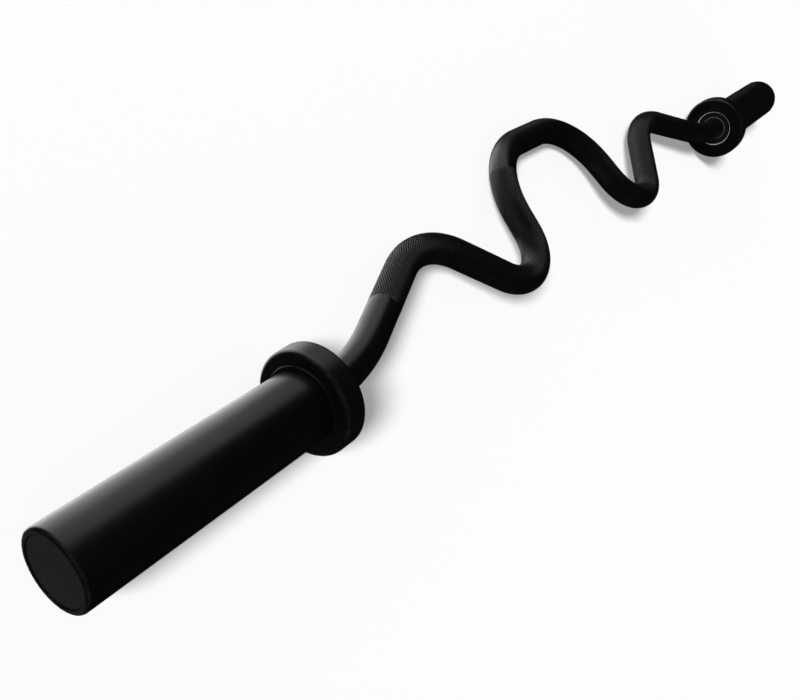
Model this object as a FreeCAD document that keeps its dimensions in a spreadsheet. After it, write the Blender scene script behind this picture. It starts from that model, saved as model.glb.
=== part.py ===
import FreeCAD
import Part
import Sketcher
import math
import os

# EZ curl bar: a bent steel shaft with a plate sleeve turning on each end.
# The bar lies along X on both collars and on the middle of its shaft, with +Z up and the
# origin on the floor under the middle of its box.

# Driving sizes in millimetres.
SIZES = {
    # Shaft: corners of the bent centre line, spans measured outwards from the bar's middle,
    # rises and drops measured from the sleeves' axis, and the radius of each bend.
    "shaft_diameter": 25.0,
    "centre_reach": 81.0,
    "inner_span": 24.0,
    "outer_span": 120.0,
    "exit_span": 133.0,
    "centre_rise": 93.0,
    "valley_drop": 60.0,
    "peak_rise": 61.0,
    "centre_bend": 70.0,
    "valley_bend": 39.0,
    "peak_bend": 61.0,
    "exit_bend": 155.0,
    "exit_lead": 6.0,
    # Shaft: turned journal at each end.
    "shoulder_step": 1.5,
    "journal_clearance": 0.05,
    "tip_length": 3.0,
    "tip_chamfer": 1.0,
    "tip_gap": 1.5,
    # Sleeve, its walls and ledges measured inwards from the outside.
    "sleeve_diameter": 50.0,
    "loading_length": 184.0,
    "sleeve_edge": 2.5,
    "mouth_wall": 3.8,
    "recess_wall": 4.0,
    "recess_ledge": 2.0,
    "flange_ledge": 2.5,
    "seat_clearance": 0.02,
    # Collar, pressed on a turned seat at the sleeve's inboard end.
    "collar_diameter": 74.0,
    "collar_width": 18.0,
    "collar_seat_step": 0.3,
    "outboard_edge": 3.5,
    "inboard_edge": 2.5,
    "hub_width": 2.5,
    "hub_height": 1.0,
    "hub_chamfer": 0.4,
    # Bushes and thrust washers.
    "bush_length": 30.0,
    "flange_thickness": 3.0,
    "flange_clearance": 0.1,
    "washer_thickness": 2.0,
    "washer_gap": 2.0,
    "washer_clearance": 0.15,
    "end_float": 0.3,
    "shoulder_gap": 2.5,
    # Circlip on the journal.
    "circlip_thickness": 1.2,
    "circlip_width": 2.8,
    "circlip_taper": 0.8,
    "circlip_gap": 4.0,
    "circlip_clearance": 0.05,
    "groove_depth": 0.5,
    "groove_play": 0.1,
    "lug_rise": 3.2,
    "lug_width": 3.6,
    "lug_edge": 1.2,
    "lug_hole": 1.8,
    # Dust washer and wire snap ring in the recess round the shaft.
    "recess_chamfer": 0.6,
    "dust_thickness": 2.5,
    "dust_clearance": 0.3,
    "dust_lip_width": 1.2,
    "dust_lip_height": 0.8,
    "wire_diameter": 2.0,
    "wire_depth": 1.0,
    "wire_inset": 1.0,
    "wire_gap": 7.0,
    # End cap.
    "cap_depth": 11.0,
    "cap_inset": 0.6,
    "cap_face": 3.0,
    "cap_wall": 2.6,
    "cap_chamfer": 0.7,
}

# Sizes that follow from those above. Stations run along the sleeve's axis, from the collar's
# inboard face outwards.
DERIVED = {
    "shaft_radius": "shaft_diameter / 2",
    "journal_radius": "shaft_radius - shoulder_step",
    "groove_radius": "journal_radius - groove_depth",
    "sleeve_radius": "sleeve_diameter / 2",
    "mouth_radius": "sleeve_radius - mouth_wall",
    "recess_radius": "sleeve_radius - recess_wall",
    "pocket_radius": "recess_radius - recess_ledge",
    "bore_radius": "pocket_radius - flange_ledge",
    "washer_radius": "pocket_radius - washer_gap",
    "wire_radius": "wire_diameter / 2 - seat_clearance",
    "wire_groove_radius": "recess_radius + wire_depth",
    "collar_radius": "collar_diameter / 2",
    "collar_seat_radius": "sleeve_radius - collar_seat_step",
    "collar_bore_radius": "collar_seat_radius + seat_clearance",
    "hub_radius": "sleeve_radius + hub_width",
    "outboard_round": "min(outboard_edge; (collar_radius - hub_radius) / 2)",
    "valley_reach": "centre_reach + inner_span",
    "peak_reach": "valley_reach + outer_span",
    "exit_reach": "peak_reach + exit_span",
    "exit_tangent": "exit_bend * tan(atan(peak_rise / exit_span) / 2)",
    "collar_face": "exit_reach + exit_tangent + exit_lead",
    "sleeve_span": "collar_width + loading_length",
    "hub_face": "collar_width + hub_height",
    "wire_end": "wire_inset + wire_diameter",
    "recess_floor": "wire_end + dust_thickness",
    "shoulder": "recess_floor + shoulder_gap",
    "inner_washer_end": "shoulder + washer_thickness",
    "inner_flange": "inner_washer_end + end_float",
    "inner_seat": "inner_flange + flange_thickness",
    "inner_bush_end": "inner_seat + bush_length",
    "mouth_floor": "sleeve_span - cap_inset - cap_depth",
    "shaft_tip": "mouth_floor - tip_gap",
    "groove_end": "shaft_tip - tip_length",
    "circlip_start": "groove_end - circlip_thickness",
    "groove_start": "circlip_start - groove_play",
    "outer_washer_start": "circlip_start - washer_thickness",
    "outer_flange": "outer_washer_start - end_float",
    "outer_seat": "outer_flange - flange_thickness",
    "outer_bush_end": "outer_seat - bush_length",
    "rest_tilt": "asin((collar_radius - shaft_radius) / centre_rise)",
    "axis_height": "collar_radius",
    "axis_offset": "(centre_rise * cos(rest_tilt) + shaft_radius - collar_radius) / 2",
}

HALF_TURN = 180
FULL_TURN = 360
SIDES = {"left": -1, "right": 1}

doc = FreeCAD.newDocument("ez_curl_bar")
sheet = doc.addObject("Spreadsheet::Sheet", "size")
cells = [(name, str(length)) for name, length in SIZES.items()]
cells += [(name, "=" + formula) for name, formula in DERIVED.items()]
for row, (name, content) in enumerate(cells, start=1):
    sheet.set(f"A{row}", name)
    sheet.set(f"B{row}", content)
    sheet.setAlias(f"B{row}", name)
doc.recompute()

pieces = []


def number(formula):
    """The plain number that a formula of sheet sizes stands for."""
    found = sheet.evalExpression(formula)
    return float(getattr(found, "Value", found))


def spot(across, up):
    """The sketch point that two formulas stand for."""
    return FreeCAD.Vector(number(across), number(up), 0)


def new_piece(label):
    """An empty body that becomes one piece of the bar."""
    body = doc.addObject("PartDesign::Body", label)
    body.Label = label
    pieces.append(body)
    return body


def base_plane(body, role):
    return next(plane for plane in body.Origin.OriginFeatures if plane.Role == role)


def new_sketch(body, role, name):
    """A sketch on one of the body's own base planes."""
    sketch = body.newObject("Sketcher::SketchObject", name)
    sketch.AttachmentSupport = [(base_plane(body, role), "")]
    sketch.MapMode = "FlatFace"
    return sketch


def hold(sketch, kind, point, formula):
    """Hold a sketch point at its distance from the origin along one axis."""
    distance = number(formula)
    if distance == 0:
        axis = {"DistanceX": -2, "DistanceY": -1}[kind]
        sketch.addConstraint(Sketcher.Constraint("PointOnObject", *point, axis))
        return
    ends = (-1, 1, *point)
    if distance < 0:
        ends = (*point, -1, 1)
        formula = f"-({formula})"
    index = sketch.addConstraint(Sketcher.Constraint(kind, *ends, abs(distance)))
    sketch.setExpression(f"Constraints[{index}]", formula)


def hold_place(sketch, point, across, up):
    hold(sketch, "DistanceX", point, across)
    hold(sketch, "DistanceY", point, up)


def hold_radius(sketch, curve, formula):
    index = sketch.addConstraint(Sketcher.Constraint("Radius", curve, number(formula)))
    sketch.setExpression(f"Constraints[{index}]", formula)


def circle(sketch, across, up, radius):
    """A full circle, its centre and radius given by formulas."""
    ring = Part.Circle(spot(across, up), FreeCAD.Vector(0, 0, 1), number(radius))
    curve = sketch.addGeometry(ring, False)
    hold_place(sketch, (curve, 3), across, up)
    hold_radius(sketch, curve, radius)


def bend_at(before, corner, after, radius):
    """The arc that rounds a corner, from the run before it to the run after it."""
    back = (before - corner).normalize()
    ahead = (after - corner).normalize()
    half = back.getAngle(ahead) / 2
    reach = radius / math.tan(half)
    crest = (back + ahead).normalize() * (radius / math.sin(half) - radius)
    return corner + back * reach, corner + crest, corner + ahead * reach


def join_bend(sketch, arc, before, after):
    """Make an arc tangent to the straight runs on both sides of it."""
    ends = (1, 2)
    gap = sketch.getPoint(before, 2) - sketch.getPoint(arc, 1)
    other_gap = sketch.getPoint(before, 2) - sketch.getPoint(arc, 2)
    if gap.Length > other_gap.Length:
        ends = (2, 1)
    sketch.addConstraint(Sketcher.Constraint("Tangent", before, 2, arc, ends[0]))
    sketch.addConstraint(Sketcher.Constraint("Tangent", arc, ends[1], after, 1))


def chain(sketch, corners, closed=True):
    """Straight runs through corners of (across, up), rounded where a corner adds a bend radius."""
    spots = [spot(across, up) for across, up, *_ in corners]
    count = len(corners)
    arrive = list(spots)
    leave = list(spots)
    crests = {}
    for index, (_, _, *bend) in enumerate(corners):
        if bend:
            after = spots[(index + 1) % count]
            arc_points = bend_at(spots[index - 1], spots[index], after, number(bend[0]))
            arrive[index], crests[index], leave[index] = arc_points
    runs = {}
    for index in range(count if closed else count - 1):
        run = Part.LineSegment(leave[index], arrive[(index + 1) % count])
        runs[index] = sketch.addGeometry(run, False)
    for index, (across, up, *bend) in enumerate(corners):
        before = runs.get((index - 1) % count)
        after = runs.get(index)
        if bend:
            arc = sketch.addGeometry(Part.Arc(arrive[index], crests[index], leave[index]), False)
            corner = sketch.addGeometry(Part.Point(spots[index]), True)
            join_bend(sketch, arc, before, after)
            hold_radius(sketch, arc, bend[0])
            sketch.addConstraint(Sketcher.Constraint("PointOnObject", corner, 1, before))
            sketch.addConstraint(Sketcher.Constraint("PointOnObject", corner, 1, after))
            hold_place(sketch, (corner, 1), across, up)
        elif after is None:
            hold_place(sketch, (before, 2), across, up)
        else:
            hold_place(sketch, (after, 1), across, up)
            if before is not None:
                sketch.addConstraint(Sketcher.Constraint("Coincident", before, 2, after, 1))


def turned(body, name, corners):
    """A turned form: an outline of stations and radii, revolved about the sleeve's axis."""
    sketch = new_sketch(body, "XY_Plane", name + "_outline")
    chain(sketch, corners)
    form = body.newObject("PartDesign::Revolution", name)
    form.Profile = sketch
    form.ReferenceAxis = (sketch, ["H_Axis"])
    form.Angle = FULL_TURN
    doc.recompute()
    return form


def seat(body, side):
    """Put a piece on the left or right sleeve's axis, at its collar's inboard face."""
    turn = HALF_TURN if SIDES[side] < 0 else 0
    upright = FreeCAD.Vector(0, 0, 1)
    body.Placement = FreeCAD.Placement(FreeCAD.Vector(), FreeCAD.Rotation(upright, turn))
    body.setExpression("Placement.Base.x", f"{SIDES[side]} * size.collar_face")
    body.setExpression("Placement.Base.y", "-size.axis_offset")
    body.setExpression("Placement.Base.z", "size.axis_height")


def make_shaft():
    """Bent round bar with a turned journal and circlip groove at each end."""
    body = new_piece("shaft")
    shoulder = "size.collar_face + size.shoulder"
    groove_start = "size.collar_face + size.groove_start"
    groove_end = "size.collar_face + size.groove_end"
    tip = "size.collar_face + size.shaft_tip"

    centre_line = new_sketch(body, "XY_Plane", "centre_line")
    chain(centre_line, [
        ("0", "size.centre_rise"),
        ("size.centre_reach", "size.centre_rise", "size.centre_bend"),
        ("size.valley_reach", "-size.valley_drop", "size.valley_bend"),
        ("size.peak_reach", "size.peak_rise", "size.peak_bend"),
        ("size.exit_reach", "0", "size.exit_bend"),
        (shoulder, "0"),
    ], closed=False)
    section = new_sketch(body, "YZ_Plane", "bar_section")
    circle(section, "size.centre_rise", "0", "size.shaft_radius")
    doc.recompute()
    bar = body.newObject("PartDesign::AdditivePipe", "bent_bar")
    bar.Profile = section
    edges = [f"Edge{index}" for index, _ in enumerate(centre_line.Shape.Edges, start=1)]
    bar.Spine = (centre_line, edges)
    doc.recompute()

    journal = turned(body, "journal", [
        (shoulder, "0"),
        (shoulder, "size.journal_radius"),
        (groove_start, "size.journal_radius"),
        (groove_start, "size.groove_radius"),
        (groove_end, "size.groove_radius"),
        (groove_end, "size.journal_radius"),
        (f"{tip} - size.tip_chamfer", "size.journal_radius"),
        (tip, "size.journal_radius - size.tip_chamfer"),
        (tip, "0"),
    ])
    mirror = body.newObject("PartDesign::Mirrored", "other_half")
    mirror.Originals = [bar, journal]
    mirror.MirrorPlane = (base_plane(body, "YZ_Plane"), [""])
    body.Tip = mirror

    lean = FreeCAD.Rotation(FreeCAD.Vector(-1, 0, 0), number("size.rest_tilt"))
    body.Placement = FreeCAD.Placement(FreeCAD.Vector(), lean)
    body.setExpression("Placement.Rotation.Angle", "size.rest_tilt")
    body.setExpression("Placement.Base.y", "-size.axis_offset")
    body.setExpression("Placement.Base.z", "size.axis_height")


def make_sleeve(side):
    """Thick tube: collar seat and recess inboard, bush seats inside, mouth for the cap."""
    body = new_piece(side + "_sleeve")
    turned(body, side + "_tube", [
        ("0", "size.recess_radius + size.recess_chamfer"),
        ("0", "size.collar_seat_radius"),
        ("size.hub_face", "size.collar_seat_radius"),
        ("size.hub_face", "size.sleeve_radius"),
        ("size.sleeve_span", "size.sleeve_radius", "size.sleeve_edge"),
        ("size.sleeve_span", "size.mouth_radius"),
        ("size.mouth_floor", "size.mouth_radius"),
        ("size.mouth_floor", "size.pocket_radius"),
        ("size.outer_seat", "size.pocket_radius"),
        ("size.outer_seat", "size.bore_radius"),
        ("size.inner_seat", "size.bore_radius"),
        ("size.inner_seat", "size.pocket_radius"),
        ("size.recess_floor", "size.pocket_radius"),
        ("size.recess_floor", "size.recess_radius"),
        ("size.wire_end", "size.recess_radius"),
        ("size.wire_end", "size.wire_groove_radius"),
        ("size.wire_inset", "size.wire_groove_radius"),
        ("size.wire_inset", "size.recess_radius"),
        ("size.recess_chamfer", "size.recess_radius"),
    ])
    seat(body, side)


def make_collar(side):
    """Ring with rounded rims, and a low hub round the sleeve on its loading face."""
    body = new_piece(side + "_collar")
    turned(body, side + "_ring", [
        ("0", "size.collar_bore_radius"),
        ("0", "size.collar_radius", "size.inboard_edge"),
        ("size.collar_width", "size.collar_radius", "size.outboard_round"),
        ("size.collar_width", "size.hub_radius"),
        ("size.hub_face - size.hub_chamfer", "size.hub_radius"),
        ("size.hub_face", "size.hub_radius - size.hub_chamfer"),
        ("size.hub_face", "size.collar_bore_radius"),
    ])
    seat(body, side)


def make_bush(side, end):
    """Flanged bronze bush, its flange towards the thrust washer at that end of the sleeve."""
    body = new_piece(f"{side}_{end}_bush")
    bore = "size.journal_radius + size.journal_clearance"
    barrel = "size.bore_radius - size.seat_clearance"
    flange = "size.pocket_radius - size.flange_clearance"
    turned(body, f"{side}_{end}_bush_form", [
        (f"size.{end}_flange", bore),
        (f"size.{end}_flange", flange),
        (f"size.{end}_seat", flange),
        (f"size.{end}_seat", barrel),
        (f"size.{end}_bush_end", barrel),
        (f"size.{end}_bush_end", bore),
    ])
    seat(body, side)


def make_thrust_washer(side, end, start, finish):
    """Flat steel ring on the journal, against the shaft's shoulder or its circlip."""
    body = new_piece(f"{side}_{end}_thrust_washer")
    bore = "size.journal_radius + size.washer_clearance"
    turned(body, f"{side}_{end}_washer_form", [
        (start, bore),
        (start, "size.washer_radius"),
        (finish, "size.washer_radius"),
        (finish, bore),
    ])
    seat(body, side)


def make_dust_washer(side):
    """Flat ring that closes the recess, with a raised lip round the shaft."""
    body = new_piece(side + "_dust_washer")
    bore = "size.shaft_radius + size.dust_clearance"
    rim = "size.recess_radius - size.seat_clearance"
    lip_face = "size.wire_end - size.dust_lip_height"
    lip_side = f"{bore} + size.dust_lip_width"
    turned(body, side + "_dust_form", [
        (lip_face, bore),
        (lip_face, lip_side),
        ("size.wire_end", lip_side),
        ("size.wire_end", rim),
        ("size.recess_floor", rim),
        ("size.recess_floor", bore),
    ])
    seat(body, side)


def make_snap_ring(side):
    """Round-wire ring sprung into the recess groove, open at the bottom."""
    body = new_piece(side + "_snap_ring")
    bend = "size.wire_groove_radius - size.wire_radius - size.seat_clearance"
    section = new_sketch(body, "XZ_Plane", side + "_wire_section")
    circle(section, "size.wire_inset + size.wire_diameter / 2", bend, "size.wire_radius")
    wire = body.newObject("PartDesign::Revolution", side + "_wire")
    wire.Profile = section
    wire.ReferenceAxis = (section, ["H_Axis"])
    wire.Midplane = True
    wire.setExpression("Angle", f"{FULL_TURN} - size.wire_gap / ({bend}) * {HALF_TURN} / pi")
    seat(body, side)


def make_circlip(side):
    """Tapered spring clip in the journal's groove, with two lugs and their plier holes."""
    body = new_piece(side + "_circlip")
    inside = "size.groove_radius + size.circlip_clearance"
    outside = f"{inside} + size.circlip_width"
    hole_height = f"{inside} + size.lug_rise"
    lug_top = f"{hole_height} + size.lug_width / 2"
    half_gap = "size.circlip_gap / 2"
    half_lugs = f"{half_gap} + size.lug_width"
    hole_side = f"{half_gap} + size.lug_width / 2"

    clip = new_sketch(body, "YZ_Plane", side + "_clip_outline")
    circle(clip, "0", "-size.circlip_taper", outside)
    circle(clip, "0", "0", inside)
    lugs = new_sketch(body, "YZ_Plane", side + "_lug_outline")
    chain(lugs, [
        (f"-({half_lugs})", inside),
        (half_lugs, inside),
        (half_lugs, lug_top, "size.lug_edge"),
        (f"-({half_lugs})", lug_top, "size.lug_edge"),
    ])
    gap = new_sketch(body, "YZ_Plane", side + "_gap_outline")
    chain(gap, [
        (f"-{half_gap}", "0"),
        (half_gap, "0"),
        (half_gap, f"{lug_top} + size.lug_edge"),
        (f"-{half_gap}", f"{lug_top} + size.lug_edge"),
    ])
    holes = new_sketch(body, "YZ_Plane", side + "_plier_holes")
    circle(holes, hole_side, hole_height, "size.lug_hole / 2")
    circle(holes, f"-({hole_side})", hole_height, "size.lug_hole / 2")
    for sketch in (clip, lugs, gap, holes):
        sketch.setExpression("AttachmentOffset.Base.z", "size.circlip_start")

    for sketch, name in ((clip, "_clip"), (lugs, "_lugs")):
        pad = body.newObject("PartDesign::Pad", side + name)
        pad.Profile = sketch
        pad.setExpression("Length", "size.circlip_thickness")
        doc.recompute()
    for sketch, name in ((gap, "_gap"), (holes, "_holes")):
        before = body.Shape.Volume
        pocket = body.newObject("PartDesign::Pocket", side + name)
        pocket.Profile = sketch
        pocket.Type = "ThroughAll"
        pocket.Reversed = True
        doc.recompute()
        if pocket.Shape.Volume >= before:
            raise RuntimeError(pocket.Name + " cuts nothing")
    seat(body, side)


def make_end_cap(side):
    """Cup-shaped plug pressed into the sleeve's mouth, its face just below the rim."""
    body = new_piece(side + "_end_cap")
    rim = "size.mouth_radius - size.seat_clearance"
    face = "size.sleeve_span - size.cap_inset"
    turned(body, side + "_cap_form", [
        (face, "0"),
        (face, f"{rim} - size.cap_chamfer"),
        (f"{face} - size.cap_chamfer", rim),
        ("size.mouth_floor", rim),
        ("size.mouth_floor", f"{rim} - size.cap_wall"),
        (f"{face} - size.cap_face", f"{rim} - size.cap_wall"),
        (f"{face} - size.cap_face", "0"),
    ])
    seat(body, side)


make_shaft()
for side in SIDES:
    make_sleeve(side)
    make_collar(side)
    make_bush(side, "inner")
    make_bush(side, "outer")
    make_thrust_washer(side, "inner", "size.shoulder", "size.inner_washer_end")
    make_thrust_washer(side, "outer", "size.outer_washer_start", "size.circlip_start")
    make_circlip(side)
    make_dust_washer(side)
    make_snap_ring(side)
    make_end_cap(side)
doc.recompute()

for item in doc.Objects:
    if {"Invalid", "Error"} & set(item.State):
        raise RuntimeError(f"{item.Name} failed: {item.State}")
for body in pieces:
    if body.Shape.isNull() or not body.Shape.isValid() or len(body.Shape.Solids) != 1:
        raise RuntimeError(f"{body.Label} is not one valid solid")

os.makedirs("parts", exist_ok=True)
for body in pieces:
    body.Shape.exportStep(f"parts/{body.Label}.step")

print("overall length", 2 * number("size.collar_face + size.sleeve_span"))
print("axis offset", number("size.axis_offset"), "rest tilt", number("size.rest_tilt"))
print("pieces", len(pieces))
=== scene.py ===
import math

import bpy
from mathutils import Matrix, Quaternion, Vector


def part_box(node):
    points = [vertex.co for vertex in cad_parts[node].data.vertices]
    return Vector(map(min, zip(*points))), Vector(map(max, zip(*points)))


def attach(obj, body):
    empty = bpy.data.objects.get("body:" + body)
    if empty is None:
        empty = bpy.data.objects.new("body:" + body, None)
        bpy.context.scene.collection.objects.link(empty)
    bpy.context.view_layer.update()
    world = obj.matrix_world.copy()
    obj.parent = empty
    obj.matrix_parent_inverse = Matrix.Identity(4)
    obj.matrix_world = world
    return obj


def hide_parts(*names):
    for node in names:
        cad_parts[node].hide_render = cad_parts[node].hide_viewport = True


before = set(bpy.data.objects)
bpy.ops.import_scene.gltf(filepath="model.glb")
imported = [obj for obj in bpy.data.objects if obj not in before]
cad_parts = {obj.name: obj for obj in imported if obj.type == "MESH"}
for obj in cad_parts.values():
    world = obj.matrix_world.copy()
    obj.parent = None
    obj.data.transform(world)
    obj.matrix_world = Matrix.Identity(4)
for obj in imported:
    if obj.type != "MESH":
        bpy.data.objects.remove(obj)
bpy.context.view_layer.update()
mm = 0.001
tiny = 1e-6  # less than this counts as nothing
hands = {"left": -1, "right": 1}

# the turning axis and the collars' inboard faces, in mm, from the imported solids
collarLow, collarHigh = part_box("right_collar")
axisY = (collarLow.y + collarHigh.y) / 2 / mm
axisZ = (collarLow.z + collarHigh.z) / 2 / mm
faceX = collarLow.x / mm
collarRadius = (collarHigh.z - collarLow.z) / 2 / mm
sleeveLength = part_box("right_sleeve")[1].x / mm - faceX


def linear(hexColour):
    # the standard sRGB curve
    parts = [int(hexColour[i:i + 2], 16) / 255 for i in (1, 3, 5)]
    return (*[p / 12.92 if p <= 0.04045 else ((p + 0.055) / 1.055) ** 2.4 for p in parts], 1.0)


def perMetre(size):
    return 1 / (size * mm)  # a pattern's scale, from the size of one grain in mm


def addNode(tree, kind, values=None, links=None, **settings):
    # sockets go by name or number; of a Mix node 0 is the factor, 2 and 3 take numbers, 6 and 7 colours
    node = tree.nodes.new("ShaderNode" + kind)
    for name, value in settings.items():
        setattr(node, name, value)
    for socket, value in (values or {}).items():
        node.inputs[socket].default_value = value
    for socket, source in (links or {}).items():
        tree.links.new(source, node.inputs[socket])
    return node


def startMaterial(name, finish):
    material = bpy.data.materials.new(name)
    material.use_nodes = True
    tree = material.node_tree
    shader = tree.nodes["Principled BSDF"]
    for socket, value in finish.items():
        shader.inputs[socket].default_value = value
    return material, tree, shader


# satin stove enamel, sprayed on steel and baked: near black with a broad soft sheen and faint
# orange peel, a little greyer where hands and plates rub it
enamel = {
    "colour": "#030303",
    "rubbed": "#0c0c0c",
    "specular": 0.22,
    "roughLow": 0.31,
    "roughHigh": 0.38,
    "rubbedRough": 0.28,
    "peel": 2.0,  # orange peel, mm
    "peelDepth": 0.010,
    "peelDetail": 1.5,
    "cloud": 38.0,  # uneven sheen, mm
    "cloudFrom": 0.3,
    "cloudTo": 0.7,
    "cloudDetail": 3.0,
    "patch": 5.0,  # patches of rubbing, mm
    "patchFrom": 0.40,
    "patchTo": 0.62,
    "patchDetail": 4.0,
    "tubeLine": 1.1,  # rings of the lathe, mm; the real ones are about 0.2, drawn coarser to show
    "collarLine": 0.9,
    "lineDepth": 0.0025,
    "lineDetail": 2.0,
}


def stoveEnamel(name, rubbedBy, lineGap=None):
    material, tree, shader = startMaterial(name, {"Specular IOR Level": enamel["specular"]})
    place = addNode(tree, "TexCoord").outputs["Object"]
    # rubbing: the mesh says where, a noise breaks it up
    where = addNode(tree, "Attribute", attribute_name=rubbedBy)
    patch = addNode(tree, "TexNoise", {"Scale": perMetre(enamel["patch"]), "Detail": enamel["patchDetail"]},
                    {"Vector": place})
    broken = addNode(tree, "MapRange", {"From Min": enamel["patchFrom"], "From Max": enamel["patchTo"]},
                     {"Value": patch.outputs["Fac"]})
    worn = addNode(tree, "Math", None, {0: where.outputs["Fac"], 1: broken.outputs["Result"]},
                   operation="MULTIPLY")
    colour = addNode(tree, "Mix", {6: linear(enamel["colour"]), 7: linear(enamel["rubbed"])},
                     {0: worn.outputs[0]}, data_type="RGBA")
    tree.links.new(colour.outputs[2], shader.inputs["Base Color"])
    # sheen: uneven all over, smoother where rubbed
    cloud = addNode(tree, "TexNoise", {"Scale": perMetre(enamel["cloud"]), "Detail": enamel["cloudDetail"]},
                    {"Vector": place})
    rough = addNode(tree, "MapRange", {
        "From Min": enamel["cloudFrom"], "From Max": enamel["cloudTo"],
        "To Min": enamel["roughLow"], "To Max": enamel["roughHigh"]}, {"Value": cloud.outputs["Fac"]})
    sheen = addNode(tree, "Mix", {3: enamel["rubbedRough"]},
                    {0: worn.outputs[0], 2: rough.outputs["Result"]}, data_type="FLOAT")
    tree.links.new(sheen.outputs[0], shader.inputs["Roughness"])
    peel = addNode(tree, "TexNoise", {"Scale": perMetre(enamel["peel"]), "Detail": enamel["peelDetail"]},
                   {"Vector": place})
    bump = addNode(tree, "Bump", {"Strength": 1.0, "Distance": enamel["peelDepth"] * mm},
                   {"Height": peel.outputs["Fac"]})
    if lineGap:  # faint rings of the lathe under the enamel
        centred = addNode(tree, "VectorMath", {1: (0, -axisY * mm, -axisZ * mm)}, {0: place},
                          operation="ADD")
        across = addNode(tree, "VectorMath", {1: (0, 1, 1)}, {0: centred.outputs[0]}, operation="MULTIPLY")
        radius = addNode(tree, "VectorMath", None, {0: across.outputs[0]}, operation="LENGTH")
        split = addNode(tree, "SeparateXYZ", None, {0: place})
        ring = addNode(tree, "CombineXYZ", None, {0: split.outputs[0], 1: radius.outputs["Value"]})
        lines = addNode(tree, "TexNoise", {"Scale": perMetre(lineGap), "Detail": enamel["lineDetail"]},
                        {"Vector": ring.outputs[0]}, noise_dimensions="2D")
        bump = addNode(tree, "Bump", {"Strength": 1.0, "Distance": enamel["lineDepth"] * mm},
                       {"Height": lines.outputs["Fac"], "Normal": bump.outputs["Normal"]})
    tree.links.new(bump.outputs["Normal"], shader.inputs["Normal"])
    return material


shaftEnamel = stoveEnamel("stoveEnamelOnKnurledBar", "crest")
sleeveEnamel = stoveEnamel("stoveEnamelOnTurnedTube", "rim", enamel["tubeLine"])
collarEnamel = stoveEnamel("stoveEnamelOnTurnedRing", "rim", enamel["collarLine"])

# black polyethylene, injection moulded in a spark-eroded mould: matt, an even fine grain
capGrain = {
    "colour": "#0b0b0b", "pale": "#111111", "specular": 0.30, "roughLow": 0.50, "roughHigh": 0.62,
    "grain": 0.6, "grainDepth": 0.02, "grainDetail": 2.0,  # really about 0.1 mm, drawn coarser to show
    "flow": 14.0, "flowDetail": 3.0,  # paler and darker where the melt ran, mm
}
capPlastic, tree, shader = startMaterial("mouldedPolyethylene", {"Specular IOR Level": capGrain["specular"]})
place = addNode(tree, "TexCoord").outputs["Object"]
grain = addNode(tree, "TexNoise", {"Scale": perMetre(capGrain["grain"]), "Detail": capGrain["grainDetail"]},
                {"Vector": place})
flow = addNode(tree, "TexNoise", {"Scale": perMetre(capGrain["flow"]), "Detail": capGrain["flowDetail"]},
               {"Vector": place})
colour = addNode(tree, "Mix", {6: linear(capGrain["colour"]), 7: linear(capGrain["pale"])},
                 {0: flow.outputs["Fac"]}, data_type="RGBA")
rough = addNode(tree, "MapRange", {"To Min": capGrain["roughLow"], "To Max": capGrain["roughHigh"]},
                {"Value": grain.outputs["Fac"]})
bump = addNode(tree, "Bump", {"Strength": 1.0, "Distance": capGrain["grainDepth"] * mm},
               {"Height": grain.outputs["Fac"]})
tree.links.new(colour.outputs[2], shader.inputs["Base Color"])
tree.links.new(rough.outputs["Result"], shader.inputs["Roughness"])
tree.links.new(bump.outputs["Normal"], shader.inputs["Normal"])

# metals: each is a base colour, a second tone in its grain and a roughness that follows the grain;
# grain is the size of its marks along x, y and z and depth their depth, in mm
metals = {
    # mild steel, black oxide bath: black, dry sheen, slightly mottled; grey on its rounded edges, worn there,
    # and on the dust washer's lip a painted highlight
    "blackOxideSteel": {
        "colour": "#060607", "tone": "#0a0a0b", "worn": "#5e5e5f", "metallic": 0.0, "specular": 0.2,
        "roughLow": 0.36, "roughHigh": 0.46, "grain": (1.5, 1.5, 1.5), "depth": 0.004},
    # spring wire, drawn and zinc plated: pale grey, half matt, with fine lines along the wire
    "platedSpringWire": {
        "colour": "#a2a2a3", "tone": "#8a8a8c", "worn": None, "metallic": 0.35, "specular": 0.5,
        "roughLow": 0.34, "roughHigh": 0.48, "grain": (0.5, 6.0, 6.0), "depth": 0.003},
    # bearing bronze, turned: warm brown-gold with open pores that hold oil
    "turnedBearingBronze": {
        "colour": "#b98d52", "tone": "#7e5a2e", "worn": None, "metallic": 1.0, "specular": 0.5,
        "roughLow": 0.32, "roughHigh": 0.50, "grain": (0.5, 2.5, 2.5), "depth": 0.006},
    # hardened steel, surface ground: light grey, fine straight scratches
    "groundSteel": {
        "colour": "#bcbdbf", "tone": "#9a9b9e", "worn": None, "metallic": 1.0, "specular": 0.5,
        "roughLow": 0.24, "roughHigh": 0.36, "grain": (0.4, 0.4, 8.0), "depth": 0.003},
    # spring steel, zinc phosphate: charcoal, dull, crystalline
    "phosphatedSpringSteel": {
        "colour": "#2c2d2f", "tone": "#3b3c3e", "worn": None, "metallic": 0.0, "specular": 0.5,
        "roughLow": 0.55, "roughHigh": 0.70, "grain": (0.4, 0.4, 0.4), "depth": 0.006},
}
metalDetail = 3.0
metal = {}
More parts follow.
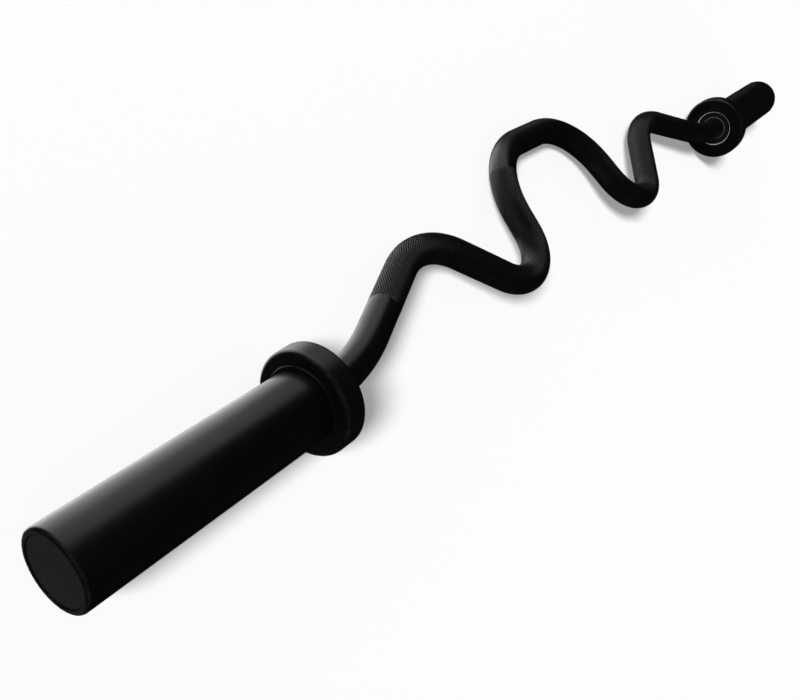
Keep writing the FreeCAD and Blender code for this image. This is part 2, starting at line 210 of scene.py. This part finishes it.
for name, look in metals.items():
    metal[name], tree, shader = startMaterial(name, {
        "Metallic": look["metallic"], "Specular IOR Level": look["specular"]})
    place = addNode(tree, "TexCoord").outputs["Object"]
    spread = addNode(tree, "Mapping", {"Scale": tuple(perMetre(size) for size in look["grain"])},
                     {"Vector": place})
    grain = addNode(tree, "TexNoise", {"Scale": 1.0, "Detail": metalDetail}, {"Vector": spread.outputs[0]})
    colour = addNode(tree, "Mix", {6: linear(look["colour"]), 7: linear(look["tone"])},
                     {0: grain.outputs["Fac"]}, data_type="RGBA")
    rough = addNode(tree, "MapRange", {"To Min": look["roughLow"], "To Max": look["roughHigh"]},
                    {"Value": grain.outputs["Fac"]})
    bump = addNode(tree, "Bump", {"Strength": 1.0, "Distance": look["depth"] * mm},
                   {"Height": grain.outputs["Fac"]})
    # grey on the rounded edges: wear, and round the dust washer's lip a painted highlight
    if look["worn"]:
        where = addNode(tree, "Attribute", attribute_name="rim")
        colour = addNode(tree, "Mix", {7: linear(look["worn"])},
                         {0: where.outputs["Fac"], 6: colour.outputs[2]}, data_type="RGBA")
    tree.links.new(colour.outputs[2], shader.inputs["Base Color"])
    tree.links.new(rough.outputs["Result"], shader.inputs["Roughness"])
    tree.links.new(bump.outputs["Normal"], shader.inputs["Normal"])
print("materials made:", len(bpy.data.materials))


def addPiece(name, mesh, material, body, node):
    mesh.materials.append(material)
    piece = bpy.data.objects.new(name, mesh)
    bpy.context.scene.collection.objects.link(piece)
    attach(piece, body)
    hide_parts(node)
    return piece


# facets of the turned pieces: round the axis, and in a rounded corner per radian of its turn
turning = {"facets": 176, "cornerFewest": 3, "cornerPlain": 1.875, "cornerPerMm": 1.25}


def roundCorners(corners, closed):
    # corners are (station, radius, rounding) in mm, with the metal on the left hand of the walk
    outline = []
    for i, (station, radius, rounding) in enumerate(corners):
        here = Vector((station, radius))
        before = Vector(corners[i - 1][:2])
        after = Vector(corners[(i + 1) % len(corners)][:2])
        if not closed and i == 0:
            before = here * 2 - after
        if not closed and i == len(corners) - 1:
            after = here * 2 - before
        into = (here - before).normalized()
        out = (after - here).normalized()
        outward = Vector((into.y, -into.x))
        turn = math.atan2(into.x * out.y - into.y * out.x, into.dot(out))
        if abs(turn) < tiny:
            outline.append((here, outward, 0.0))
            continue
        reach = rounding * math.tan(abs(turn) / 2)
        bulge = rounding if turn > 0 else -rounding  # a left turn stands proud, a right turn is hollow
        centre = here - into * reach - outward * bulge
        perRadian = turning["cornerPlain"] + turning["cornerPerMm"] * rounding
        steps = max(turning["cornerFewest"], math.ceil(abs(turn) * perRadian))
        for step in range(steps + 1):
            swing = turn * step / steps
            normal = Vector((outward.x * math.cos(swing) - outward.y * math.sin(swing),
                             outward.x * math.sin(swing) + outward.y * math.cos(swing)))
            proud = math.sin(math.pi * step / steps) if turn > 0 else 0.0
            outline.append((centre + normal * bulge, normal, proud))
    return outline


def turnedMesh(name, corners, hand, closed=True):
    facets = turning["facets"]
    verts, normals, rims, faces, rings = [], [], [], [], []
    for point, normal, proud in roundCorners(corners, closed):
        count = facets if point.y > tiny else 1
        rings.append([len(verts) + k % count for k in range(facets + 1)])
        x = hand * (faceX + point.x)
        for k in range(count):
            swing = math.tau * k / facets
            c, s = math.cos(swing), math.sin(swing)
            verts.append((x * mm, (axisY + point.y * c) * mm, (axisZ + point.y * s) * mm))
            normals.append((hand * normal.x, normal.y * c, normal.y * s))
            rims.append(proud)
    if closed:
        rings.append(rings[0])
    for one, two in zip(rings, rings[1:]):
        for k in range(facets):
            face = list(dict.fromkeys((one[k], two[k], two[k + 1], one[k + 1])))
            faces.append(face if hand > 0 else face[::-1])
    mesh = bpy.data.meshes.new(name)
    mesh.from_pydata(verts, [], faces, shade_flat=False)
    mesh.attributes.new("rim", "FLOAT", "POINT").data.foreach_set("value", rims)
    mesh.normals_split_custom_set_from_vertices(normals)
    return mesh


# sleeve: a thick tube with a seat for the collar, pockets for the bushes, a recess for the dust
# washer, a groove for the wire ring and a mouth for the cap (stations from the collar's inboard face)
sleeve = {
    "radius": 25.0, "seat": 24.7, "seatEnd": 19.0, "endRound": 2.5, "mouthRound": 0.4,
    "breakEdge": 0.2, "sharpEdge": 0.1, "mouth": 21.2, "mouthFloor": 190.4, "bore": 16.5, "pocket": 19.0,
    "innerSeat": 13.3, "outerSeat": 179.4, "recess": 21.0, "recessFloor": 5.5, "lead": 0.6,
    "groove": 22.0, "grooveFrom": 1.0, "grooveTo": 3.0,
}
# collar: a heavy ring with rounded rims and a low hub round the sleeve
collar = {
    "bore": 24.72, "inboardRound": 2.5, "outboardRound": 3.5, "face": 18.0, "hub": 27.5, "hubEnd": 19.0,
    "hubChamfer": 0.4, "breakEdge": 0.2,
}
# cap: a moulded cup pushed into the sleeve's mouth, a hair below the sleeve's end
cap = {
    "radius": 21.18, "face": 201.4, "skin": 3.0, "wall": 2.6, "edge": 0.7, "insideRound": 0.5,
    "breakEdge": 0.2,
}
# dust washer: a flat ring with a small lip round the shaft
dustWasher = {
    "from": 3.0, "to": 5.5, "bore": 12.8, "rim": 20.98, "lipWidth": 1.2, "lipFrom": 2.2, "lipRound": 0.35,
    "breakEdge": 0.2,
}

for side, hand in hands.items():
    body = side + "_sleeve"
    edge = sleeve["breakEdge"]
    tubeOutline = [
        (0.0, sleeve["recess"] + sleeve["lead"], edge),
        (sleeve["lead"], sleeve["recess"], edge),
        (sleeve["grooveFrom"], sleeve["recess"], sleeve["sharpEdge"]),
        (sleeve["grooveFrom"], sleeve["groove"], edge),
        (sleeve["grooveTo"], sleeve["groove"], edge),
        (sleeve["grooveTo"], sleeve["recess"], edge),
        (sleeve["recessFloor"], sleeve["recess"], edge),
        (sleeve["recessFloor"], sleeve["pocket"], edge),
        (sleeve["innerSeat"], sleeve["pocket"], edge),
        (sleeve["innerSeat"], sleeve["bore"], edge),
        (sleeve["outerSeat"], sleeve["bore"], edge),
        (sleeve["outerSeat"], sleeve["pocket"], edge),
        (sleeve["mouthFloor"], sleeve["pocket"], edge),
        (sleeve["mouthFloor"], sleeve["mouth"], edge),
        (sleeveLength, sleeve["mouth"], sleeve["mouthRound"]),
        (sleeveLength, sleeve["radius"], sleeve["endRound"]),
        (sleeve["seatEnd"], sleeve["radius"], sleeve["sharpEdge"]),
        (sleeve["seatEnd"], sleeve["seat"], sleeve["sharpEdge"]),
        (0.0, sleeve["seat"], edge),
    ]
    addPiece(side + "_sleeve_tube", turnedMesh(side + "SleeveTube", tubeOutline, hand), sleeveEnamel,
             body, side + "_sleeve")

    edge = collar["breakEdge"]
    collarOutline = [
        (0.0, collar["bore"], edge),
        (collar["hubEnd"], collar["bore"], edge),
        (collar["hubEnd"], collar["hub"] - collar["hubChamfer"], edge),
        (collar["hubEnd"] - collar["hubChamfer"], collar["hub"], edge),
        (collar["face"], collar["hub"], edge),
        (collar["face"], collarRadius, collar["outboardRound"]),
        (0.0, collarRadius, collar["inboardRound"]),
    ]
    addPiece(side + "_collar_ring", turnedMesh(side + "CollarRing", collarOutline, hand), collarEnamel,
             body, side + "_collar")

    edge = cap["breakEdge"]
    capInside = cap["face"] - cap["skin"]
    capOutline = [
        (capInside, 0.0, 0.0),
        (capInside, cap["radius"] - cap["wall"], cap["insideRound"]),
        (sleeve["mouthFloor"], cap["radius"] - cap["wall"], edge),
        (sleeve["mouthFloor"], cap["radius"], edge),
        (cap["face"], cap["radius"], cap["edge"]),
        (cap["face"], 0.0, 0.0),
    ]
    addPiece(side + "_end_plug", turnedMesh(side + "EndPlug", capOutline, hand, closed=False), capPlastic,
             body, side + "_end_cap")

    edge = dustWasher["breakEdge"]
    lip = dustWasher["bore"] + dustWasher["lipWidth"]
    washerOutline = [
        (dustWasher["lipFrom"], dustWasher["bore"], edge),
        (dustWasher["to"], dustWasher["bore"], edge),
        (dustWasher["to"], dustWasher["rim"], edge),
        (dustWasher["from"], dustWasher["rim"], edge),
        (dustWasher["from"], lip, edge),
        (dustWasher["lipFrom"], lip, dustWasher["lipRound"]),
    ]
    addPiece(side + "_dust_ring", turnedMesh(side + "DustRing", washerOutline, hand),
             metal["blackOxideSteel"], body, side + "_dust_washer")
print("turned pieces made")

# wire ring: round spring wire in the sleeve's groove, open at the bottom
wireRing = {
    "station": 2.0, "bend": 21.0, "radius": 0.98, "gap": 7.0, "steps": 150, "sidesRound": 20,
    "endRound": 0.3, "endMiddle": 0.3,  # rounding of the cut ends, and how far in its middle row lies
    "sharpAngle": 50,
}
for side, hand in hands.items():
    half = math.asin(wireRing["gap"] / 2 / wireRing["bend"])
    steps = wireRing["steps"]
    swings = [half + (math.tau - 2 * half) * i / steps for i in range(steps + 1)]
    ends = []
    for inwards, cut in ((0.0, 1.0), (wireRing["endMiddle"], wireRing["endMiddle"]), (1.0, 0.0)):
        ends.append((swings[0] + wireRing["endRound"] * inwards / wireRing["bend"],
                     wireRing["radius"] - wireRing["endRound"] * cut))
    rows = ends + [(swing, wireRing["radius"]) for swing in swings[1:-1]]
    rows += [(math.tau - swing, radius) for swing, radius in reversed(ends)]
    verts, faces = [], []
    count = wireRing["sidesRound"]
    for swing, radius in rows:
        for k in range(count):
            roll = math.tau * k / count
            reach = wireRing["bend"] + radius * math.cos(roll)
            verts.append((hand * (faceX + wireRing["station"] + radius * math.sin(roll)) * mm,
                          (axisY + reach * math.sin(swing)) * mm, (axisZ - reach * math.cos(swing)) * mm))
    for i in range(len(rows) - 1):
        for k in range(count):
            n = (k + 1) % count
            face = [i * count + k, i * count + n, (i + 1) * count + n, (i + 1) * count + k]
            faces.append(face if hand > 0 else face[::-1])
    first = list(range(count))
    last = [(len(rows) - 1) * count + k for k in range(count)]
    faces.append(first[::-1] if hand > 0 else first)
    faces.append(last if hand > 0 else last[::-1])
    mesh = bpy.data.meshes.new(side + "WireRing")
    mesh.from_pydata(verts, [], faces, shade_flat=False)
    mesh.set_sharp_from_angle(angle=math.radians(wireRing["sharpAngle"]))
    addPiece(side + "_wire_ring", mesh, metal["platedSpringWire"], side + "_sleeve", side + "_snap_ring")
print("wire rings made")

# shaft: round bar bent in one plane, knurled on the grips, turned down at the ends to run in the bushes
shaft = {
    "radius": 12.5,
    "bends": ((81, 93, 70), (105, -60, 39), (225, 61, 61), (358, 0, 155)),  # x, rise, bend radius
    "knurlFrom": 77.5, "knurlTo": 392.5,  # mm along the bar from its middle
    "diamonds": 38, "rowStep": 1.8,  # diamonds round the bar, and half the length of one
    "crest": 0.15, "valley": 0.29,  # above and below the plain bar
    "flatShare": 0.32,  # width of a diamond's flat top against its foot
    "smoothStep": 2.6,
    "sharpAngle": 30,
    # stations past the collar's face and radii: shoulder, journal, circlip groove, tip
    "ends": ((7.8, 12.5), (8.0, 12.3), (8.0, 11.0), (184.6, 11.0), (184.6, 10.5), (185.9, 10.5),
             (185.9, 11.0), (187.9, 11.0), (188.9, 10.0)),
}
tilt = math.asin((collarRadius - shaft["radius"]) / shaft["bends"][0][1])  # the middle lies on the floor

# centre line of one half as runs of (length, start, heading, curvature)
runs = []
spot = Vector((0.0, shaft["bends"][0][1]))
stops = [Vector(bend[:2]) for bend in shaft["bends"]] + [Vector((faceX, 0.0))]
bendRadii = [bend[2] for bend in shaft["bends"]]
heading = 0.0
for corner, following, bendRadius in zip(stops, stops[1:], bendRadii):
    out = (following - corner).normalized()
    turn = math.atan2(out.y, out.x) - heading
    reach = bendRadius * math.tan(abs(turn) / 2)
    into = Vector((math.cos(heading), math.sin(heading)))
    runs.append(((corner - spot).length - reach, spot, heading, 0.0))
    runs.append((bendRadius * abs(turn), corner - into * reach, heading, math.copysign(1 / bendRadius, turn)))
    spot = corner + out * reach
    heading += turn
runs.append(((stops[-1] - spot).length, spot, heading, 0.0))
halfLength = sum(run[0] for run in runs)


def alongShaft(station):
    left = abs(station)
    for length, start, heading, curve in runs:
        if left <= length:
            break
        left -= length
    else:
        left += length  # past the last run: straight on
    turned = heading + curve * left
    if curve:
        step = Vector((math.sin(turned) - math.sin(heading), math.cos(heading) - math.cos(turned))) / curve
    else:
        step = Vector((math.cos(heading), math.sin(heading))) * left
    hand = math.copysign(1, station)
    return hand * (start.x + step.x), start.y + step.y, hand * turned


def onShaft(station, swing, radius):
    x, rise, turned = alongShaft(station)
    x -= radius * math.cos(swing) * math.sin(turned)
    rise += radius * math.cos(swing) * math.cos(turned)
    lift = radius * math.sin(swing)
    return (x * mm, (axisY + rise * math.cos(tilt) + lift * math.sin(tilt)) * mm,
            (axisZ - rise * math.sin(tilt) + lift * math.cos(tilt)) * mm)


columns = 2 * shaft["diamonds"]
swings = [math.tau * k / columns for k in range(columns)]
verts, faces, smooth, crests = [], [], [], []


def addRing(station, radius):
    start = len(verts)
    verts.extend(onShaft(station, swing, radius) for swing in swings)
    return [start + k for k in range(columns)]


def addFace(corners, isSmooth, isCrest):
    faces.append(corners)
    smooth.append(isSmooth)
    crests.append(isCrest)


def joinRings(one, two):
    for k in range(columns):
        n = (k + 1) % columns
        addFace((one[k], one[n], two[n], two[k]), True, 0.0)


def smoothBar(ring, start, end):
    steps = max(1, round((end - start) / shaft["smoothStep"]))
    for i in range(1, steps + 1):
        following = addRing(start + (end - start) * i / steps, shaft["radius"])
        joinRings(ring, following)
        ring = following
    return ring


def knurledBar(ring, start, end):
    # a grid of rows and columns: even crossings are valleys, odd ones the middles of diamonds
    rows = round((end - start) / shaft["rowStep"])
    gap = (end - start) / rows
    low, high = shaft["radius"] - shaft["valley"], shaft["radius"] + shaft["crest"]
    valleys = {(k, 0): ring[k] for k in range(columns)}
    last = addRing(end, shaft["radius"])
    valleys.update({(k, rows): last[k] for k in range(columns)})
    for j in range(1, rows):
        for k in range(j % 2, columns, 2):
            valleys[k, j] = len(verts)
            verts.append(onShaft(start + j * gap, swings[k], low))
    share = shaft["flatShare"]
    steps = [(-1, 0), (0, -1), (1, 0), (0, 1)]
    for j in range(1, rows):
        for k in range((j + 1) % 2, columns, 2):
            base = [valleys[(k + stepK) % columns, j + stepJ] for stepK, stepJ in steps]
            top = []
            for stepK, stepJ in steps:
                top.append(len(verts))
                verts.append(onShaft(start + (j + stepJ * share) * gap,
                                     swings[k] + stepK * share * math.tau / columns, high))
            addFace(tuple(top), False, 1.0)
            for i in range(4):
                n = (i + 1) % 4
                addFace((base[i], base[n], top[n], top[i]), False, 0.0)
    for j, inner, flip in ((0, 1, False), (rows, rows - 1, True)):
        for k in range((j + 1) % 2, columns, 2):  # half diamonds along the border
            before, after = (k - 1) % columns, (k + 1) % columns
            for one, two in ((before, k), (k, after)):
                face = (valleys[one, j], valleys[two, j], valleys[k, inner])
                addFace(face[::-1] if flip else face, False, 0.0)
    return last


def turnedEnd(ring, hand):
    for station, radius in shaft["ends"]:
        following = addRing(hand * (halfLength + station), radius)
        joinRings(*((ring, following) if hand > 0 else (following, ring)))
        ring = following
    addFace(tuple(ring if hand > 0 else ring[::-1]), True, 0.0)


firstRing = addRing(-halfLength, shaft["radius"])
ring = smoothBar(firstRing, -halfLength, -shaft["knurlTo"])
ring = knurledBar(ring, -shaft["knurlTo"], -shaft["knurlFrom"])
ring = smoothBar(ring, -shaft["knurlFrom"], shaft["knurlFrom"])
ring = knurledBar(ring, shaft["knurlFrom"], shaft["knurlTo"])
lastRing = smoothBar(ring, shaft["knurlTo"], halfLength)
turnedEnd(lastRing, 1)
turnedEnd(firstRing, -1)
mesh = bpy.data.meshes.new("knurledShaft")
mesh.from_pydata(verts, [], faces)
mesh.polygons.foreach_set("use_smooth", smooth)
mesh.attributes.new("crest", "FLOAT", "FACE").data.foreach_set("value", crests)
mesh.set_sharp_from_angle(angle=math.radians(shaft["sharpAngle"]))
addPiece("knurled_shaft", mesh, shaftEnamel, "shaft", "shaft")
print("shaft made:", len(faces), "faces,", round(2 * halfLength, 1), "mm between the collars")

# pieces inside the sleeves keep their solids and get their finishes
inside = {
    "inner_bush": "turnedBearingBronze",
    "outer_bush": "turnedBearingBronze",
    "inner_thrust_washer": "groundSteel",
    "outer_thrust_washer": "groundSteel",
    "circlip": "phosphatedSpringSteel",
}
for side in hands:
    for kind, finish in inside.items():
        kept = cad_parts[side + "_" + kind]
        kept.data.materials.clear()
        kept.data.materials.append(metal[finish])
print("inner pieces finished:", len(hands) * len(inside))

# opal acrylic of a light table: matt white, a little light from below that keeps shadows pale;
# the bar's gloss does not see it
table = {
    "colour": "#dcdcdc", "glow": 0.25, "width": 60.0,  # width in metres
    "tooth": 0.8, "toothDepth": 0.02, "toothStrength": 0.2,
}
opalAcrylic, tree, shader = startMaterial("opalAcrylicTable", {
    "Base Color": linear(table["colour"]), "Roughness": 1.0, "Specular IOR Level": 0.0,
    "Emission Color": (1, 1, 1, 1), "Emission Strength": table["glow"]})
place = addNode(tree, "TexCoord").outputs["Object"]
tooth = addNode(tree, "TexNoise", {"Scale": perMetre(table["tooth"])}, {"Vector": place})
bump = addNode(tree, "Bump", {"Strength": table["toothStrength"], "Distance": table["toothDepth"] * mm},
               {"Height": tooth.outputs["Fac"]})
tree.links.new(bump.outputs["Normal"], shader.inputs["Normal"])
reach = table["width"] / 2
mesh = bpy.data.meshes.new("tableTop")
mesh.from_pydata([(-reach, -reach, 0), (reach, -reach, 0), (reach, reach, 0), (-reach, reach, 0)], [],
                 [(0, 1, 2, 3)])
mesh.materials.append(opalAcrylic)
floor = bpy.data.objects.new("tableTop", mesh)
floor.visible_glossy = False
bpy.context.scene.collection.objects.link(floor)

# key: a sun close to the camera's line, so that the shadow is a narrow one to the lower right
key = {"towards": (-1.3, 0.40, 1.0), "strength": 4.68, "softness": 12.0}
lamp = bpy.data.lights.new("key", "SUN")
lamp.energy = key["strength"]
lamp.angle = math.radians(key["softness"])
keyLamp = bpy.data.objects.new("key", lamp)
keyLamp.rotation_mode = "QUATERNION"
keyLamp.rotation_quaternion = Vector(key["towards"]).to_track_quat("Z", "Y")
keyLamp.visible_glossy = False
bpy.context.scene.collection.objects.link(keyLamp)

# cards and flags: glowing and black panels that only the gloss of the bar sees, placed in metres by
# a swing from the level up over the bar, the way out, and along the bar; heading turns one round z
cards = {
    # soft box behind the bar and its two dim wings: the sheen on the upper left
    "sideBox": {"swing": 21, "away": 1.0, "along": -0.125, "wide": 1.35, "high": 0.94, "glow": 2.1},
    "sideWing": {"swing": 21, "away": 1.0, "along": -1.65, "wide": 1.7, "high": 0.94, "glow": 0.6},
    "lowWing": {"swing": -10, "away": 1.0, "along": 1.75, "wide": 2.4, "high": 0.70, "glow": 0.2},
    # in place of the table: the bright rim under that sheen
    "lowCard": {"swing": -46, "away": 1.0, "along": -0.02, "wide": 1.15, "high": 1.68, "glow": 3.2},
    # black ones over the bar, before it, and past its far end: the dark lower right
    "topFlag": {"swing": 95, "away": 10.0, "along": 18.0, "wide": 30.0, "high": 14.0, "glow": 0.0},
    "frontFlag": {"swing": 162, "away": 10.0, "along": 15.5, "wide": 37.0, "high": 15.6, "glow": 0.02},
    "endFlag": {"swing": 14, "away": 16.0, "along": 0.0, "wide": 40.0, "high": 24.0, "glow": 0.0,
                "heading": -90},
    # a faint one under the near end, and black ones past it: the caps and the collars' faces
    "footCard": {"swing": 256, "away": 10.0, "along": -4.2, "wide": 5.0, "high": 12.0, "glow": 0.17},
    "nearFlag": {"swing": 9, "away": 12.0, "along": 0.0, "wide": 16.0, "high": 7.0, "glow": 0.0,
                 "heading": 90},
    "cornerFlag": {"swing": 9, "away": 12.0, "along": 0.0, "wide": 12.5, "high": 9.0, "glow": 0.0,
                   "heading": 128},
}
for name, card in cards.items():
    swing = math.radians(card["swing"])
    turn = Quaternion((0, 0, 1), math.radians(card.get("heading", 0)))
    middle = Vector((card["along"], card["away"] * math.cos(swing), card["away"] * math.sin(swing)))
    w = Vector((card["wide"] / 2, 0, 0))
    h = Vector((0, -math.sin(swing), math.cos(swing))) * card["high"] / 2
    corners = (middle - w - h, middle + w - h, middle + w + h, middle - w + h)
    mesh = bpy.data.meshes.new(name)
    mesh.from_pydata([turn @ corner for corner in corners], [], [(0, 1, 2, 3)])
    finish, tree, shader = startMaterial(name, {
        "Base Color": (0, 0, 0, 1), "Specular IOR Level": 0.0, "Roughness": 1.0,
        "Emission Color": (1, 1, 1, 1), "Emission Strength": card["glow"]})
    mesh.materials.append(finish)
    panel = bpy.data.objects.new(name, mesh)
    panel.visible_camera = panel.visible_diffuse = panel.visible_shadow = panel.visible_transmission = False
    bpy.context.scene.collection.objects.link(panel)

# white seamless paper, hung in a ring round the table: an even white behind the bar and in its gloss,
# which gives no other light; real fibres are far finer than 3 mm, drawn coarser
backdrop = {
    "colour": "#fefefe", "fibreTone": "#fdfdfd", "fibre": 3.0,
    "radius": 27.0, "height": 14.0, "steps": 64,  # in metres
}
seamlessPaper, tree, shader = startMaterial("seamlessPaper", {
    "Base Color": (0, 0, 0, 1), "Roughness": 1.0, "Specular IOR Level": 0.0, "Emission Strength": 1.0})
place = addNode(tree, "TexCoord").outputs["Object"]
fibre = addNode(tree, "TexNoise", {"Scale": perMetre(backdrop["fibre"])}, {"Vector": place})
colour = addNode(tree, "Mix", {6: linear(backdrop["colour"]), 7: linear(backdrop["fibreTone"])},
                 {0: fibre.outputs["Fac"]}, data_type="RGBA")
tree.links.new(colour.outputs[2], shader.inputs["Emission Color"])
count = backdrop["steps"]
swings = [math.tau * k / count for k in range(count)]
foot = [Vector((math.cos(swing), math.sin(swing), 0)) * backdrop["radius"] for swing in swings]
rise = Vector((0, 0, backdrop["height"]))
mesh = bpy.data.meshes.new("paperRing")
mesh.from_pydata(foot + [spot + rise for spot in foot], [],
                 [((k + 1) % count, k, count + k, count + (k + 1) % count) for k in range(count)],
                 shade_flat=False)
mesh.materials.append(seamlessPaper)
paper = bpy.data.objects.new("paperRing", mesh)
paper.visible_diffuse = paper.visible_shadow = False
bpy.context.scene.collection.objects.link(paper)

# world: a dim grey room, paler low down and nearly black below the level; the steps are heights of
# the line of sight, 0 level and 1 straight up
sky = {
    "low": "#b4b4b4", "high": "#5c5c5c", "under": "#080808",
    "lowTo": 0.12, "highFrom": 0.50, "underTo": -0.03, "underFrom": -0.12,
}
world = bpy.data.worlds.new("studio")
bpy.context.scene.world = world
world.use_nodes = True
tree = world.node_tree
towards = addNode(tree, "TexCoord")
split = addNode(tree, "SeparateXYZ", None, {0: towards.outputs["Generated"]})
fade = addNode(tree, "MapRange", {"From Min": sky["lowTo"], "From Max": sky["highFrom"]},
               {"Value": split.outputs[2]}, interpolation_type="SMOOTHSTEP")
colour = addNode(tree, "Mix", {6: linear(sky["low"]), 7: linear(sky["high"])}, {0: fade.outputs["Result"]},
                 data_type="RGBA")
below = addNode(tree, "MapRange", {"From Min": sky["underTo"], "From Max": sky["underFrom"]},
                {"Value": split.outputs[2]})
ground = addNode(tree, "Mix", {7: linear(sky["under"])}, {0: below.outputs["Result"], 6: colour.outputs[2]},
                 data_type="RGBA")
tree.links.new(ground.outputs[2], tree.nodes["Background"].inputs["Color"])
bpy.context.scene.view_settings.view_transform = "Standard"

# camera: where the photograph was taken from, with its own roll
photoView = {
    "place": (-776.696, 72.099, 463.654), "aim": (-312.265, -38.903, 37.0), "roll": 75.182,
    "lens": 40.63, "sensor": 36.0, "nearest": 10.0,
}
lens = bpy.data.cameras.new("photoView")
lens.sensor_width = photoView["sensor"]
lens.lens = photoView["lens"]
lens.clip_start = photoView["nearest"] * mm
camera = bpy.data.objects.new("photoView", lens)
camera.location = Vector(photoView["place"]) * mm
camera.rotation_mode = "QUATERNION"
level = (Vector(photoView["aim"]) - Vector(photoView["place"])).to_track_quat("-Z", "Y")
camera.rotation_quaternion = level @ Quaternion((0, 0, 1), math.radians(photoView["roll"]))
bpy.context.scene.collection.objects.link(camera)
bpy.context.scene.camera = camera
print("studio and camera set")
